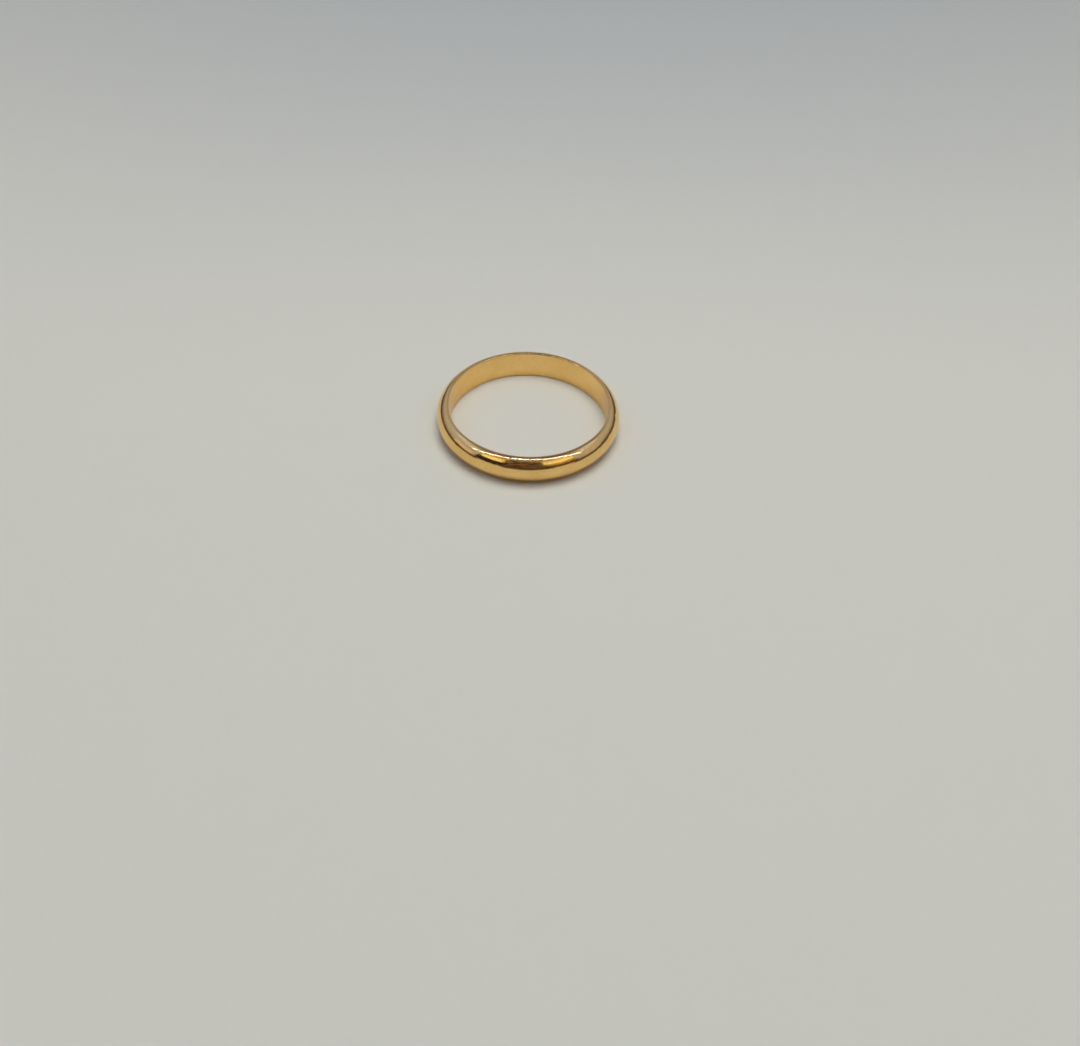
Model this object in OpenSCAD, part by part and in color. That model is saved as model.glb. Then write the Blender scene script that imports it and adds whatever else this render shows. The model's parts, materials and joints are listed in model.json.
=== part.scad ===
// Plain D-section wedding band: a hoop of gold wire, flat inside and domed outside, whose two
// ends meet in a soldered butt joint. The origin is the centre of the bore, and +Z runs along
// the bore, so the band lies on its side as it does when it is put down. Millimetres.

/* [Size] */
// Inside circumference of the band, which is its ISO 8653 ring size
ring_size = 51; // [41:1:76]
// Width of the band, measured along the finger
band_w = 3.0; // [2.2:0.1:8]
// Thickness of the wall, from the bore to the crown of the dome
band_t = 1.2; // [1:0.05:1.6]

/* [Edges] */
// Radius that polishing leaves where the bore meets each side
bore_edge_r = 0.18; // [0.05:0.01:0.25]
// Width of the flat trued on each side, between the bore's edge and the dome's shoulder
side_flat = 0.06; // [0.05:0.01:0.4]
// Radius of the shoulder that blends each side into the dome
shoulder_r = 0.20; // [0.1:0.01:0.5]

/* [Joint] */
// Thickness of the solder between the two filed ends of the wire
solder_t = 0.08; // [0.04:0.01:0.2]
// Direction of the joint from the bore's axis, turned from +X towards +Y
joint_at = 90; // [0:1:359]

/* [Hidden] */
$fn = 180;

gold_colour = [0.83, 0.64, 0.35];
solder_colour = [0.80, 0.64, 0.40];

bore_r = ring_size / (2 * PI);
crown_r = bore_r + band_t;
half_w = band_w / 2;

// Every cutter reaches this far past the wire
overcut = band_t;

// A rounding arc is drawn this much too large, so that it always crosses the lines it blends
blend_overlap = 0.0001;

// Centre of the arc that rounds the bore's edge into a side
edge_x = bore_r + bore_edge_r;
edge_y = half_w - bore_edge_r;

// The dome takes up the thickness that is left outside the side's flat. It is always a little
// shallower than a half circle, so the flat is wider on a thick, narrow wire.
deepest_dome = 0.95 * half_w;
dome_rise = min(band_t - bore_edge_r - side_flat, deepest_dome);

// Centre of the shoulder's arc, which is tangent to the side and to the dome. Its radius
// is at most half the dome's rise.
blend_r = min(shoulder_r, dome_rise / 2);
shoulder_x = crown_r - dome_rise;
shoulder_y = half_w - blend_r;

// The dome is the one arc through the crown that is tangent to both shoulders
dome_r = (pow(dome_rise, 2) + pow(shoulder_y, 2) - pow(blend_r, 2)) / (2 * (dome_rise - blend_r));
dome_x = crown_r - dome_r;

// Slope of the line from the dome's centre through a shoulder's centre
shoulder_slope = shoulder_y / (shoulder_x - dome_x);

// What is filed off the rectangular wire outside the dome's arc
module dome_waste() {
    difference() {
        translate([shoulder_x, -half_w - overcut])
            square([dome_rise + 2 * overcut, band_w + 2 * overcut]);
        translate([dome_x, 0])
            circle(r = dome_r);
    }
}

// Sharp corner outside the rounded edge of the bore, on the +Z side
module bore_edge_waste() {
    difference() {
        translate([edge_x - 2 * bore_edge_r, edge_y])
            square(2 * bore_edge_r);
        translate([edge_x, edge_y])
            circle(r = bore_edge_r + blend_overlap);
    }
}

// Ridge outside the shoulder's arc, between the side and the dome, on the +Z side
module shoulder_waste() {
    reach = blend_r + overcut;
    translate([shoulder_x, shoulder_y])
        difference() {
            polygon([[0, 0], [reach / shoulder_slope, reach], [0, reach]]);
            circle(r = blend_r + blend_overlap);
        }
}

// Section of the wire, with X as the distance from the bore's axis and Y along it
module d_section() {
    difference() {
        translate([bore_r, -half_w])
            square([band_t + overcut, band_w]);
        dome_waste();
        for (side = [0, 1])
            mirror([0, side]) {
                bore_edge_waste();
                shoulder_waste();
            }
    }
}

// The whole hoop, as if the wire had no ends
module hoop() {
    rotate_extrude()
        d_section();
}

// Flat slab between the wire's ends, from the bore's axis out past the crown
module joint_gap() {
    rotate([0, 0, joint_at])
        translate([0, -solder_t / 2, -half_w - overcut])
            cube([crown_r + overcut, solder_t, band_w + 2 * overcut]);
}

// The gold wire, bent round until its filed ends stand one solder thickness apart
module band() {
    color(gold_colour)
        difference() {
            hoop();
            joint_gap();
        }
}

// The hard solder that joins the ends, dressed flush with the wire all round
module solder_seam() {
    color(solder_colour)
        intersection() {
            hoop();
            joint_gap();
        }
}

band();
solder_seam();
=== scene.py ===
import json
import math
import random

import bmesh
import bpy
import numpy as np
from mathutils import Matrix, Vector, kdtree, noise


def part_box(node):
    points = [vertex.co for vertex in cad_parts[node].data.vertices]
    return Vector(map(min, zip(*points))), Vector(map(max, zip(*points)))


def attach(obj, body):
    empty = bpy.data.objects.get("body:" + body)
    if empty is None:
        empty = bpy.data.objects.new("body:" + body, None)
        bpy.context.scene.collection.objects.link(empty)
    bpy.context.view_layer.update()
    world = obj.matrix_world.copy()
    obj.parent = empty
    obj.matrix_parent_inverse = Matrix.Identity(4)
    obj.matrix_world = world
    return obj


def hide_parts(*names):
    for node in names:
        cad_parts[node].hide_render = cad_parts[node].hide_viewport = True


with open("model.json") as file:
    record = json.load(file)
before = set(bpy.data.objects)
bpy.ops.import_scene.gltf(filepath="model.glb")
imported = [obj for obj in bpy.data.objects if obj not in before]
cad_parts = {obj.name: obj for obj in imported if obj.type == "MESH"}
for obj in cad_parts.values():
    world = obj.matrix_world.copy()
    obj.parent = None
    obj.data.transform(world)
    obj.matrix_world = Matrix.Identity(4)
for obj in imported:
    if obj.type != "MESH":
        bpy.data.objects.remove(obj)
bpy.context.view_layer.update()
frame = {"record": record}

# =========================================================================================
# The hoop. One length of 18 carat yellow gold wire, drawn to a D section, bent flat side in
# round a mandrel until its filed ends meet at the back, then trued on its sides and polished,
# which rounds both edges of the bore and both shoulders of the dome. It has been worn.
# =========================================================================================
mounts = {mount["name"]: mount for mount in frame["record"]["mounts"]}
bore_radius = mounts["finger_bore"]["dims"]["r_mm"] / 1000
half_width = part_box("band")[1].z
wall = 0.0012
bore_edge = 0.00018
side_flat = 0.00006
shoulder = 0.0002
solder_gap = 0.00008

# The dome is the one arc through the crown that is tangent to both shoulders
crown_radius = bore_radius + wall
shoulder_out = bore_radius + bore_edge + side_flat
shoulder_up = half_width - shoulder
dome_rise = crown_radius - shoulder_out
dome_radius = (dome_rise**2 + shoulder_up**2 - shoulder**2) / (2 * (dome_rise - shoulder))
dome_out = crown_radius - dome_radius
dome_angle = math.atan2(shoulder_up, shoulder_out - dome_out)
joint_angle = solder_gap / (bore_radius + wall / 2)

# Faces across each part of the section, and round the hoop
wall_steps, edge_steps, flat_steps, shoulder_steps, dome_steps = 5, 8, 1, 6, 26
hoop_wedges, wedge_steps = 30, 30
weld_distance = 1e-7


def draw_section(bm):
    """The wire's closed D section in the YZ plane. Each vertex keeps its distance along the
    section from the middle of the bore wall."""
    tip = bmesh.ops.create_vert(bm, co=(0, bore_radius, 0))["vert"][0]

    def run(tip, step, steps):
        for _ in range(steps):
            tip = bmesh.ops.extrude_vert_indiv(bm, verts=[tip])["verts"][0]
            tip.co += Vector(step) / steps
        return tip

    def arc(tip, centre, angle, steps):
        spun = bmesh.ops.spin(
            bm, geom=[tip], cent=centre, axis=(1, 0, 0), dvec=(0, 0, 0), angle=angle, steps=steps,
            use_merge=False, use_normal_flip=False, use_duplicate=False)
        return [part for part in spun["geom_last"] if isinstance(part, bmesh.types.BMVert)][0]

    tip = run(tip, (0, 0, half_width - bore_edge), wall_steps)
    tip = arc(tip, (0, bore_radius + bore_edge, half_width - bore_edge), -math.pi / 2, edge_steps)
    tip = run(tip, (0, side_flat, 0), flat_steps)
    tip = arc(tip, (0, shoulder_out, shoulder_up), dome_angle - math.pi / 2, shoulder_steps)
    tip = arc(tip, (0, dome_out, 0), -dome_angle, dome_steps)

    across = bm.verts.layers.float.new("across")
    bm.verts.ensure_lookup_table()
    for before, after in zip(bm.verts[:-1], bm.verts[1:]):
        after[across] = before[across] + (after.co - before.co).length
    bmesh.ops.mirror(bm, geom=bm.verts[:] + bm.edges[:], axis="Z", merge_dist=weld_distance / 10)


def bend_wire(bm, start, angle, wedges, steps):
    """Bends the section round the bore into an open-ended tube: one wedge, then its copies."""
    wedge = angle / wedges
    bmesh.ops.rotate(bm, verts=bm.verts[:], cent=(0, 0, 0), matrix=Matrix.Rotation(start, 3, "Z"))
    bmesh.ops.spin(
        bm, geom=bm.verts[:] + bm.edges[:], cent=(0, 0, 0), axis=(0, 0, 1), dvec=(0, 0, 0),
        angle=wedge, steps=steps, use_merge=False, use_normal_flip=False, use_duplicate=False)
    if wedges > 1:
        bmesh.ops.spin(
            bm, geom=bm.verts[:] + bm.edges[:] + bm.faces[:], cent=(0, 0, 0), axis=(0, 0, 1),
            dvec=(0, 0, 0), angle=angle - wedge, steps=wedges - 1, use_merge=False,
            use_normal_flip=False, use_duplicate=True)
        bmesh.ops.remove_doubles(bm, verts=bm.verts[:], dist=weld_distance)
    bmesh.ops.recalc_face_normals(bm, faces=bm.faces[:])
    for face in bm.faces:
        face.smooth = True


# Hand polishing leaves shallow waves in the metal, and wear leaves knocks on the dome
polish_wave, polish_depth = 0.0016, 0.0000035
slow_wave, slow_depth = 0.0052, 0.000012
knock_count = 46
knocked_dome = 0.9
knock_reaches = (0.00012, 0.0003)
knock_depths = (0.000003, 0.000009)
knock_chance = random.Random(51)
knocks = []
for _ in range(knock_count):
    round_hoop = knock_chance.uniform(0, 2 * math.pi)
    up_dome = knock_chance.uniform(-knocked_dome, knocked_dome) * dome_angle
    out = dome_out + dome_radius * math.cos(up_dome)
    up = dome_radius * math.sin(up_dome)
    place = Vector((out * math.cos(round_hoop), out * math.sin(round_hoop), up))
    knocks.append((place, knock_chance.uniform(*knock_reaches), knock_chance.uniform(*knock_depths)))


def wear_down(bm):
    """Presses the waves and the knocks into the skin, and never raises it."""
    bm.normal_update()
    bm.verts.ensure_lookup_table()
    skin = kdtree.KDTree(len(bm.verts))
    for vert in bm.verts:
        skin.insert(vert.co, vert.index)
    skin.balance()
    pressed = [0.0] * len(bm.verts)
    for place, reach, depth in knocks:
        for _, index, away in skin.find_range(place, 3 * reach):
            pressed[index] += depth * math.exp(-away**2 / (2 * reach**2))
    for vert, knocked in zip(bm.verts, pressed):
        waves = polish_depth * (1 + noise.noise(vert.co / polish_wave))
        waves += slow_depth * (1 + noise.noise(vert.co / slow_wave))
        vert.co -= vert.normal * (waves / 2 + knocked)


def close_ends(bm):
    """Fills the two filed ends, and keeps their rims crisp."""
    rims = [edge for edge in bm.edges if edge.is_boundary]
    bmesh.ops.holes_fill(bm, edges=rims, sides=0)
    for edge in rims:
        edge.smooth = False
    bmesh.ops.recalc_face_normals(bm, faces=bm.faces[:])


def finish_piece(bm, name, material):
    """Turns the mesh into a named object at the origin."""
    mesh = bpy.data.meshes.new(name)
    bm.to_mesh(mesh)
    bm.free()
    mesh.materials.append(material)
    piece = bpy.data.objects.new(name, mesh)
    bpy.context.scene.collection.objects.link(piece)
    return piece


def measure_wire(mesh):
    """UV in millimetres. U runs round the hoop from the joint. V runs from the crown over the
    top and down the bore, or down to the table, so the map is cut only under the lower side."""
    corners = np.empty(len(mesh.loops), dtype=int)
    places = np.empty(3 * len(mesh.vertices))
    across = np.empty(len(mesh.vertices))
    centres = np.empty(3 * len(mesh.polygons))
    sizes = np.empty(len(mesh.polygons), dtype=int)
    mesh.loops.foreach_get("vertex_index", corners)
    mesh.vertices.foreach_get("co", places)
    mesh.attributes["across"].data.foreach_get("value", across)
    mesh.polygons.foreach_get("center", centres)
    mesh.polygons.foreach_get("loop_total", sizes)

    x, y, _ = places.reshape(-1, 3)[corners].T
    centre_x, centre_y, centre_z = np.repeat(centres.reshape(-1, 3), sizes, axis=0).T
    past_joint = np.abs(np.arctan2(-centre_x, centre_y)) > joint_angle / 2
    turned = np.arctan2(-x, y)
    turned = np.where(past_joint, turned % (2 * math.pi), turned)
    from_crown = across.max() - across[corners]
    inside = np.hypot(centre_x, centre_y) < bore_radius + bore_edge + side_flat / 2
    below = np.where(inside, across.max() + across[corners], -from_crown)
    v = np.where(centre_z > 0, from_crown, below)
    uv = np.stack([crown_radius * turned, v], axis=1) * 1000
    mesh.uv_layers.new(name="wire_mm").data.foreach_set("uv", uv.ravel())


def node(tree, kind, inputs, **settings):
    """Adds a node, with each input linked or set, and gives back its outputs."""
    made = tree.nodes.new(kind)
    for name, value in settings.items():
        setattr(made, name, value)
    for socket, value in inputs.items():
        if isinstance(value, bpy.types.NodeSocket):
            tree.links.new(value, made.inputs[socket])
        else:
            made.inputs[socket].default_value = value
    return made.outputs


def maths(tree, operation, *values):
    """One arithmetic node on links or plain numbers."""
    return node(tree, "ShaderNodeMath", dict(enumerate(values)), operation=operation)["Value"]


def fade(tree, value, zero_at, one_at):
    """Smooth step from nought to one as the value goes from the first limit to the second."""
    limits = {"Value": value, "From Min": zero_at, "From Max": one_at}
    return node(tree, "ShaderNodeMapRange", limits, interpolation_type="SMOOTHSTEP")["Result"]


def blend_colour(tree, below, above, share):
    """Lays the second colour over the first by its share."""
    inputs = {"Factor": share, "A": below, "B": above}
    return node(tree, "ShaderNodeMix", inputs, data_type="RGBA")["Result"]


def stretched_noise(tree, place, scale, detail):
    """Noise with its own scale along each axis."""
    laid = node(tree, "ShaderNodeMapping", {"Vector": place, "Scale": scale})["Vector"]
    return node(tree, "ShaderNodeTexNoise", {"Vector": laid, "Scale": 1.0, "Detail": detail})["Fac"]


# The scratches taper over the last part of their length, and the faintest is this deep
full_depth_length = 0.6
faintest_scratch = 0.3


def scratches(tree, wire_mm, cells_per_mm, half_length, half_width, share, shift):
    """Straight fine scratches, each at its own angle in its own cell of the surface. Millimetres."""
    moved = node(tree, "ShaderNodeMapping", {"Vector": wire_mm, "Location": (shift, 3.7 * shift, 0)})
    place = moved["Vector"]
    cells = {"Vector": place, "Scale": cells_per_mm}
    cell = node(tree, "ShaderNodeTexVoronoi", cells, voronoi_dimensions="2D")
    chance = node(tree, "ShaderNodeSeparateColor", {"Color": cell["Color"]})
    to_place = {0: place, 1: cell["Position"]}
    from_centre = node(tree, "ShaderNodeVectorMath", to_place, operation="SUBTRACT")["Vector"]
    turn = {"Vector": from_centre, "Angle": maths(tree, "MULTIPLY", chance["Red"], 2 * math.pi)}
    turned = node(tree, "ShaderNodeVectorRotate", turn, rotation_type="Z_AXIS")["Vector"]
    laid = node(tree, "ShaderNodeSeparateXYZ", {"Vector": turned})
    line = fade(tree, maths(tree, "ABSOLUTE", laid["Y"]), half_width, 0.0)
    from_middle = maths(tree, "ABSOLUTE", laid["X"])
    ends = fade(tree, from_middle, half_length, full_depth_length * half_length)
    kept = maths(tree, "LESS_THAN", chance["Green"], share)
    depth_range = maths(tree, "MULTIPLY", chance["Blue"], 1 - faintest_scratch)
    deep = maths(tree, "ADD", depth_range, faintest_scratch)
    shape = maths(tree, "MULTIPLY", line, ends)
    return maths(tree, "MULTIPLY", shape, maths(tree, "MULTIPLY", kept, deep))


# Millimetres from the crown, over the shoulder and the side, to the bore's edge
bore_starts = 1000 * (dome_radius * dome_angle + shoulder * (math.pi / 2 - dome_angle) + side_flat)

# Each size of scratch: cells per mm, half length, half width, share of cells, shift of the pattern
scratch_sizes = [
    (0.42, 1.9, 0.016, 0.85, 1.3),
    (0.6, 1.4, 0.013, 0.85, 7.9),
    (0.85, 0.9, 0.012, 0.8, 4.4),
    (1.3, 0.55, 0.011, 0.8, 9.6),
    (2.2, 0.3, 0.010, 0.7, 2.8),
    (3.9, 0.16, 0.008, 0.6, 6.1),
]
grime_colour = (0.45, 0.26, 0.10, 1)
grime_in_pits = 0.35

# Scales of the noises, in the wire's millimetres or in metres
buffing_scale = (0.14, 21.0, 1.0)
peel_scale = (3600.0, 3600.0, 3600.0)
cloud_scale = (420.0, 420.0, 420.0)

# A slow noise in the wire's millimetres moves the scratches by up to this much, so they curve
bend_scale, bend_reach = 0.5, (0.5, 0.5, 0.0)

# Pits: cells per mm, and as shares of a cell the core, the smallest and the range above it
pit_cells_per_mm, pit_core, smallest_pit, pit_range = 2.6, 0.02, 0.04, 0.09

# The worn colour shows where a mix of the peel and the clouds passes from the first to the second
peel_in_mottle, cloud_in_mottle = 0.4, 0.6
mottle_limits = (0.36, 0.64)

# How much each kind of wear roughens the gold
cloud_haze, buffing_haze, scratch_haze, pit_haze = 0.08, 0.04, 0.14, 0.15

# Heights of the relief, in micrometres
micrometre = 0.000001
buffing_height, coarser_in_bore, peel_height = 0.3, 0.9, 3.2
scratch_height, pit_height = -1.4, -2.0


def worn_gold(name, colour, worn_colour, haze, pit_share):
    """Polished gold that has been worn: buffing lines round the wire that are coarser in the bore,
    scratches at every angle across them, pits that hold a little grime, and an uneven haze."""
    material = bpy.data.materials.new(name)
    material.use_nodes = True
    tree = material.node_tree
    wire_mm = node(tree, "ShaderNodeUVMap", {}, uv_map="wire_mm")["UV"]
    place = node(tree, "ShaderNodeTexCoord", {})["Object"]

    buffing = stretched_noise(tree, wire_mm, buffing_scale, 3.0)
    across = node(tree, "ShaderNodeSeparateXYZ", {"Vector": wire_mm})["Y"]
    in_bore = fade(tree, across, bore_starts - 0.1, bore_starts + 0.1)
    peel = stretched_noise(tree, place, peel_scale, 2.0)
    clouds = stretched_noise(tree, place, cloud_scale, 4.0)

    slow = {"Vector": wire_mm, "Scale": bend_scale, "Detail": 0.0}
    bend = node(tree, "ShaderNodeTexNoise", slow)["Color"]
    bent = {0: bend, 1: bend_reach, 2: wire_mm}
    curved = node(tree, "ShaderNodeVectorMath", bent, operation="MULTIPLY_ADD")["Vector"]
    lines = 0.0
    for size in scratch_sizes:
        lines = maths(tree, "MAXIMUM", lines, scratches(tree, curved, *size))

    pit_cells = {"Vector": wire_mm, "Scale": pit_cells_per_mm}
    spot = node(tree, "ShaderNodeTexVoronoi", pit_cells, voronoi_dimensions="2D")
    spot_chance = node(tree, "ShaderNodeSeparateColor", {"Color": spot["Color"]})
    hole_edge = maths(tree, "MULTIPLY_ADD", spot_chance["Green"], pit_range, smallest_pit)
    hole = fade(tree, spot["Distance"], hole_edge, pit_core)
    pits = maths(tree, "MULTIPLY", hole, maths(tree, "LESS_THAN", spot_chance["Red"], pit_share))

    cloudy = maths(tree, "MULTIPLY", clouds, cloud_in_mottle)
    mottled = maths(tree, "MULTIPLY_ADD", peel, peel_in_mottle, cloudy)
    worn = fade(tree, mottled, *mottle_limits)
    uneven = blend_colour(tree, (*colour, 1), (*worn_colour, 1), worn)
    grimy = blend_colour(tree, uneven, grime_colour, maths(tree, "MULTIPLY", pits, grime_in_pits))

    rough = maths(tree, "MULTIPLY_ADD", clouds, cloud_haze, haze - cloud_haze / 2)
    rough = maths(tree, "MULTIPLY_ADD", buffing, buffing_haze, rough)
    rough = maths(tree, "MULTIPLY_ADD", lines, scratch_haze, rough)
    rough = maths(tree, "MULTIPLY_ADD", pits, pit_haze, rough)

    buffed = maths(tree, "MULTIPLY_ADD", in_bore, coarser_in_bore, buffing_height)
    height = maths(tree, "MULTIPLY", buffing, buffed)
    height = maths(tree, "MULTIPLY_ADD", peel, peel_height, height)
    height = maths(tree, "MULTIPLY_ADD", lines, scratch_height, height)
    height = maths(tree, "MULTIPLY_ADD", pits, pit_height, height)
    relief = node(tree, "ShaderNodeBump", {"Height": height, "Distance": micrometre})["Normal"]

    gold = tree.nodes["Principled BSDF"]
    gold.inputs["Metallic"].default_value = 1
    tree.links.new(grimy, gold.inputs["Base Color"])
    tree.links.new(rough, gold.inputs["Roughness"])
    tree.links.new(relief, gold.inputs["Normal"])
    return material


yellow_gold = (0.96, 0.65, 0.25)
rubbed_gold = (0.90, 0.575, 0.20)
gold_haze, gold_pits = 0.07, 0.22
bm = bmesh.new()
draw_section(bm)
bend_wire(bm, joint_angle / 2, 2 * math.pi - joint_angle, hoop_wedges, wedge_steps)
wear_down(bm)
close_ends(bm)
hoop_gold = worn_gold("worn_yellow_gold", yellow_gold, rubbed_gold, gold_haze, gold_pits)
hoop = finish_piece(bm, "gold_hoop", hoop_gold)
measure_wire(hoop.data)
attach(hoop, "root")
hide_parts("band")

# =========================================================================================
# The solder seam. A wafer of hard gold solder, a shade paler than the wire, that filled the
# joint when the two ends were heated. It is filed and polished flush with the hoop, and it
# keeps a few more pinholes than the drawn wire.
# =========================================================================================
pale_gold = (0.95, 0.67, 0.30)
rubbed_solder = (0.88, 0.60, 0.25)
solder_haze, solder_pits = 0.11, 0.6
bm = bmesh.new()
draw_section(bm)
bend_wire(bm, -joint_angle / 2, joint_angle, 1, 1)
wear_down(bm)
close_ends(bm)
seam_gold = worn_gold("worn_gold_solder", pale_gold, rubbed_solder, solder_haze, solder_pits)
seam = finish_piece(bm, "solder_seam_line", seam_gold)
measure_wire(seam.data)
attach(seam, "root")
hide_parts("solder_seam")

# =========================================================================================
# The table and the sweep. A matt pale board that the band lies on, and the same board curving
# up round it as a plain background. The sweep is only for the camera.
# =========================================================================================
table_radius = 0.035
floor_radius = 0.06
sweep_curve = 0.09
board_colour = (0.815, 0.80, 0.655, 1)
# Painted shade: the board's colour is darker and cooler towards the back
painted_shade_back = (0.54, 0.56, 0.525, 1)
# Painted light: the board's colour is paler where it stands up, making up for the weaker light that
# falls there
painted_light_upright = (0.96, 0.92, 0.84, 1)
painted_shade_limits, painted_light_limits = (0.0, 0.12), (0.012, 0.07)
board_roughness = 0.85
tooth_scale, tooth_depth = (2600.0, 2600.0, 2600.0), 0.000012


def pale_board(name):
    """Matt pale card with a faint tooth. Its colour holds painted shade, darker and cooler at the
    back, and painted light, paler where it stands up.
    """
    material = bpy.data.materials.new(name)
    material.use_nodes = True
    tree = material.node_tree
    place = node(tree, "ShaderNodeTexCoord", {})["Object"]
    spot = node(tree, "ShaderNodeSeparateXYZ", {"Vector": place})
    painted_shade_share = fade(tree, spot["Y"], *painted_shade_limits)
    painted_light_share = fade(tree, spot["Z"], *painted_light_limits)
    tooth = stretched_noise(tree, place, tooth_scale, 3.0)
    # Painted shade, darker and cooler towards the back
    shade = blend_colour(tree, board_colour, painted_shade_back, painted_shade_share)
    # Painted light where the board stands up
    shade = blend_colour(tree, shade, painted_light_upright, painted_light_share)
    relief = node(tree, "ShaderNodeBump", {"Height": tooth, "Distance": tooth_depth})["Normal"]
    board = tree.nodes["Principled BSDF"]
    board.inputs["Roughness"].default_value = board_roughness
    tree.links.new(shade, board.inputs["Base Color"])
    tree.links.new(relief, board.inputs["Normal"])
    return material


bm = bmesh.new()
bmesh.ops.create_circle(bm, cap_ends=True, cap_tris=True, segments=128, radius=table_radius)
bmesh.ops.translate(bm, verts=bm.verts[:], vec=(0, 0, -half_width))
table = finish_piece(bm, "table", pale_board("matt_pale_board"))

bm = bmesh.new()
edge_of_table = bmesh.ops.create_vert(bm, co=(0, table_radius, -half_width))["vert"][0]
tip = bmesh.ops.extrude_vert_indiv(bm, verts=[edge_of_table])["verts"][0]
tip.co.y = floor_radius
bmesh.ops.spin(
    bm, geom=[tip], cent=(0, floor_radius, sweep_curve - half_width), axis=(1, 0, 0), dvec=(0, 0, 0),
    angle=math.pi / 2, steps=24, use_merge=False, use_normal_flip=False, use_duplicate=False)
bmesh.ops.spin(
    bm, geom=bm.verts[:] + bm.edges[:], cent=(0, 0, 0), axis=(0, 0, 1), dvec=(0, 0, 0),
    angle=2 * math.pi, steps=128, use_merge=True, use_normal_flip=False, use_duplicate=False)
for face in bm.faces:
    face.smooth = True
sweep = finish_piece(bm, "sweep", table.data.materials[0])
sweep.visible_glossy = sweep.visible_diffuse = sweep.visible_shadow = False

# =========================================================================================
# The light. A light box with grey-blue walls, pale panels and an open front, which shows in
# the gold as a dark patch between two warm lamps. A strip of small lamps runs over the front.
# =========================================================================================
world = bpy.data.worlds.new("light_box")
bpy.context.scene.world = world
world.use_nodes = True
tree = world.node_tree

look = node(tree, "ShaderNodeTexCoord", {})["Generated"]
direction = node(tree, "ShaderNodeSeparateXYZ", {"Vector": look})
toward_front = maths(tree, "MULTIPLY", direction["Y"], -1.0)
azimuth = maths(tree, "DEGREES", maths(tree, "ARCTAN2", direction["X"], toward_front))
elevation = maths(tree, "DEGREES", maths(tree, "ARCSINE", direction["Z"]))

# Colour of the walls by elevation in degrees
wall_colours = [
    (0, (0.07, 0.055, 0.06)),
    (4, (0.10, 0.085, 0.09)),
    (11, (0.31, 0.31, 0.38)),
    (20, (0.42, 0.45, 0.60)),
    (42, (0.43, 0.47, 0.68)),
    (58, (0.26, 0.27, 0.34)),
    (72, (0.17, 0.14, 0.17)),
]
walls = tree.nodes.new("ShaderNodeValToRGB")
while len(walls.color_ramp.elements) < len(wall_colours):
    walls.color_ramp.elements.new(0.5)
for stop, (height, colour) in zip(walls.color_ramp.elements, wall_colours):
    stop.position = height / 90
    stop.color = (*colour, 1)
tree.links.new(maths(tree, "DIVIDE", elevation, 90.0), walls.inputs["Fac"])
sky = walls.outputs["Color"]

# The room beyond the open front is dim, with a few lighter things in it
room_shadow = (0.045, 0.032, 0.036, 1)
room_light = (0.25, 0.17, 0.135, 1)
things = stretched_noise(tree, look, (8.0, 8.0, 7.0), 1.0)
room = blend_colour(tree, room_shadow, room_light, fade(tree, things, 0.38, 0.76))

panels = [
    # Middle azimuth and width, middle elevation and height, softness of the edge, colour
    (180, 60, 59, 36, 8, (0.13, 0.11, 0.13, 1)),
    (150, 70, 62, 30, 14, (0.13, 0.11, 0.13, 1)),
    (0, 112, -4, 15, 2, (0.58, 0.52, 0.47, 1)),
    (0, 120, 29.5, 51, 2, room),
    (2, 62, 8, 16, 8, (0.075, 0.055, 0.052, 1)),
    (-44, 32, 16.5, 25, 3, (0.028, 0.02, 0.026, 1)),
    (46, 32, 11.5, 15, 4, (0.12, 0.075, 0.05, 1)),
    (44, 34, 25, 12, 5, (0.46, 0.35, 0.16, 1)),
    (-43, 29, 49, 13, 5, (0.72, 0.50, 0.22, 1)),
    (42, 40, 48, 12, 5, (0.80, 0.66, 0.40, 1)),
    (-43, 29, 38, 16, 2, (1.0, 0.98, 0.60, 1)),
    (42, 39, 37, 14, 2, (0.98, 0.93, 0.60, 1)),
    (-77, 30, 16, 17, 8, (0.66, 0.62, 0.70, 1)),
    (82, 26, 24, 32, 8, (0.50, 0.47, 0.52, 1)),
    (-93, 36, 45, 16, 10, (0.58, 0.66, 0.98, 1)),
    (93, 36, 45, 16, 10, (0.58, 0.66, 0.98, 1)),
]
for middle, width, height, rise, soft, colour in panels:
    beside = maths(tree, "WRAP", maths(tree, "SUBTRACT", azimuth, middle), 180.0, -180.0)
    turn = maths(tree, "ABSOLUTE", beside)
    lift = maths(tree, "ABSOLUTE", maths(tree, "SUBTRACT", elevation, height))
    in_width = fade(tree, turn, (width + soft) / 2, (width - soft) / 2)
    in_height = fade(tree, lift, (rise + soft) / 2, (rise - soft) / 2)
    sky = blend_colour(tree, sky, colour, maths(tree, "MULTIPLY", in_width, in_height))

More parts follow.
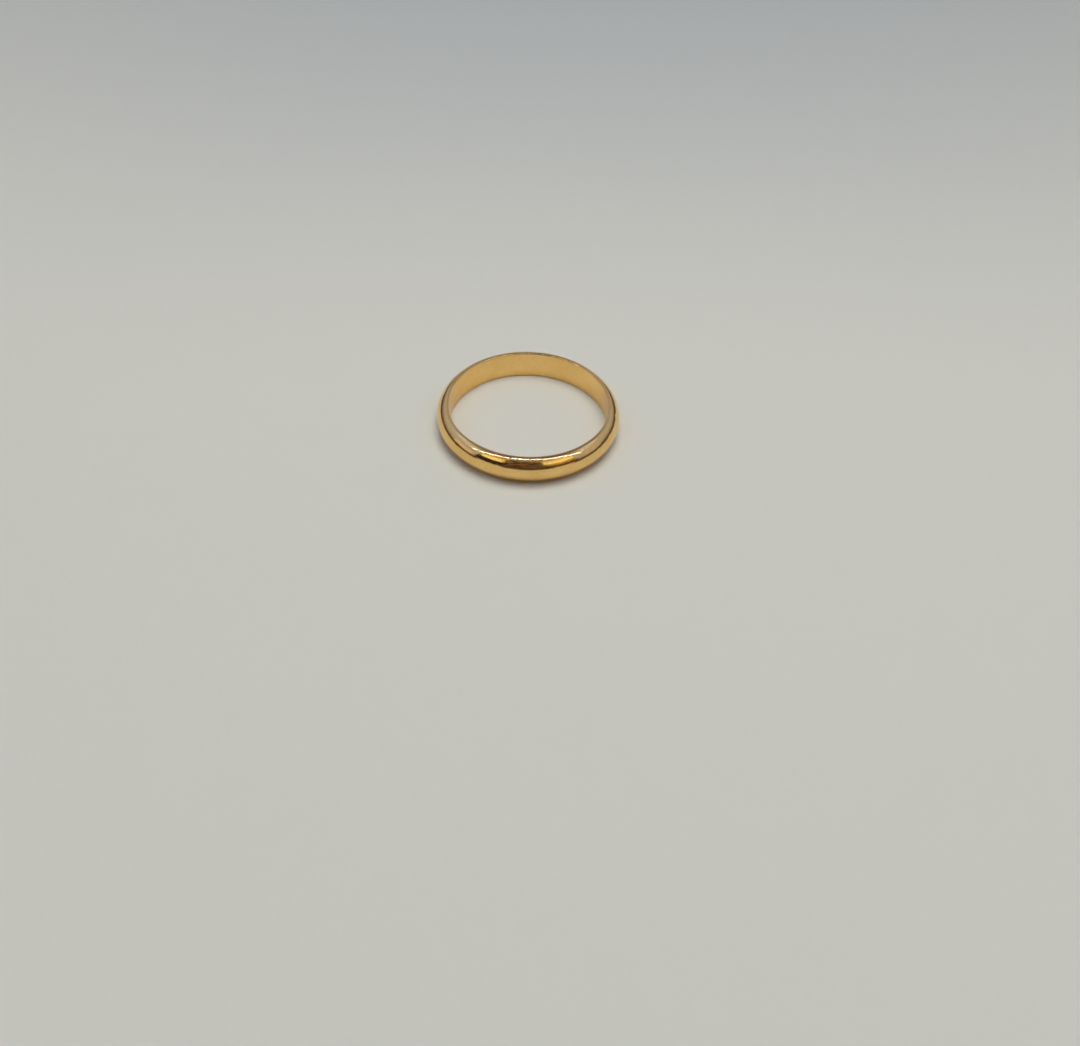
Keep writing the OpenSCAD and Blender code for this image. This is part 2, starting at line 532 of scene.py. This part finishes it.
# The strip of lamps is straight, so it is laid out on a flat ceiling one unit above the band
strip_forward, strip_half_width, strip_reach = 0.325, 0.016, 1.2
lamp_pitch, lamp_edge, lamp_core = 0.09, 0.32, 0.16
strip_colour = (15.0, 17.5, 28.0, 1)
ceiling = maths(tree, "MAXIMUM", direction["Z"], 0.01)
along = maths(tree, "DIVIDE", direction["X"], ceiling)
forward = maths(tree, "DIVIDE", toward_front, ceiling)
off_strip = maths(tree, "ABSOLUTE", maths(tree, "SUBTRACT", forward, strip_forward))
off_lamp = maths(tree, "PINGPONG", maths(tree, "DIVIDE", along, lamp_pitch), 0.5)
on_strip = fade(tree, off_strip, 1.5 * strip_half_width, 0.5 * strip_half_width)
on_lamp = fade(tree, off_lamp, lamp_edge, lamp_core)
in_reach = maths(tree, "LESS_THAN", maths(tree, "ABSOLUTE", along), strip_reach)
lamps = maths(tree, "MULTIPLY", maths(tree, "MULTIPLY", on_strip, on_lamp), in_reach)
sky = blend_colour(tree, sky, strip_colour, lamps)
background = tree.nodes["Background"]
tree.links.new(sky, background.inputs["Color"])

# The walls are dimmer as lamps than they look in the gold, so the softbox lights the table
dimmer_on_matt = -0.55
on_matt = node(tree, "ShaderNodeLightPath", {})["Is Diffuse Ray"]
strength = maths(tree, "MULTIPLY_ADD", on_matt, dimmer_on_matt, 1.0)
tree.links.new(strength, background.inputs["Strength"])

softbox_data = bpy.data.lights.new("softbox", "AREA")
softbox_data.shape = "DISK"
softbox_data.size = 0.35
softbox_data.energy = 1.31
softbox = bpy.data.objects.new("softbox", softbox_data)
softbox.location = (0.03, 0.05, 0.50)
softbox.rotation_euler = softbox.location.to_track_quat("Z", "Y").to_euler()
softbox.visible_glossy = False
bpy.context.scene.collection.objects.link(softbox)

# =========================================================================================
# The camera. It looks down on the band from the front, rolled a little, as a hand holds it.
# =========================================================================================
look_down = math.radians(45.66)
roll = math.radians(2.55)
band_in_view = Vector((-0.0012, 0.01121, -0.11084))
camera = bpy.data.objects.new("camera", bpy.data.cameras.new("camera"))
camera.data.sensor_width = 36
camera.data.lens = 36.1
camera.data.clip_start = 0.001
turn = Matrix.Rotation(math.pi / 2 - look_down, 3, "X") @ Matrix.Rotation(roll, 3, "Z")
camera.matrix_world = Matrix.Translation(turn @ -band_in_view) @ turn.to_4x4()
bpy.context.scene.collection.objects.link(camera)
bpy.context.scene.camera = camera
bpy.context.scene.view_settings.view_transform = "Standard"
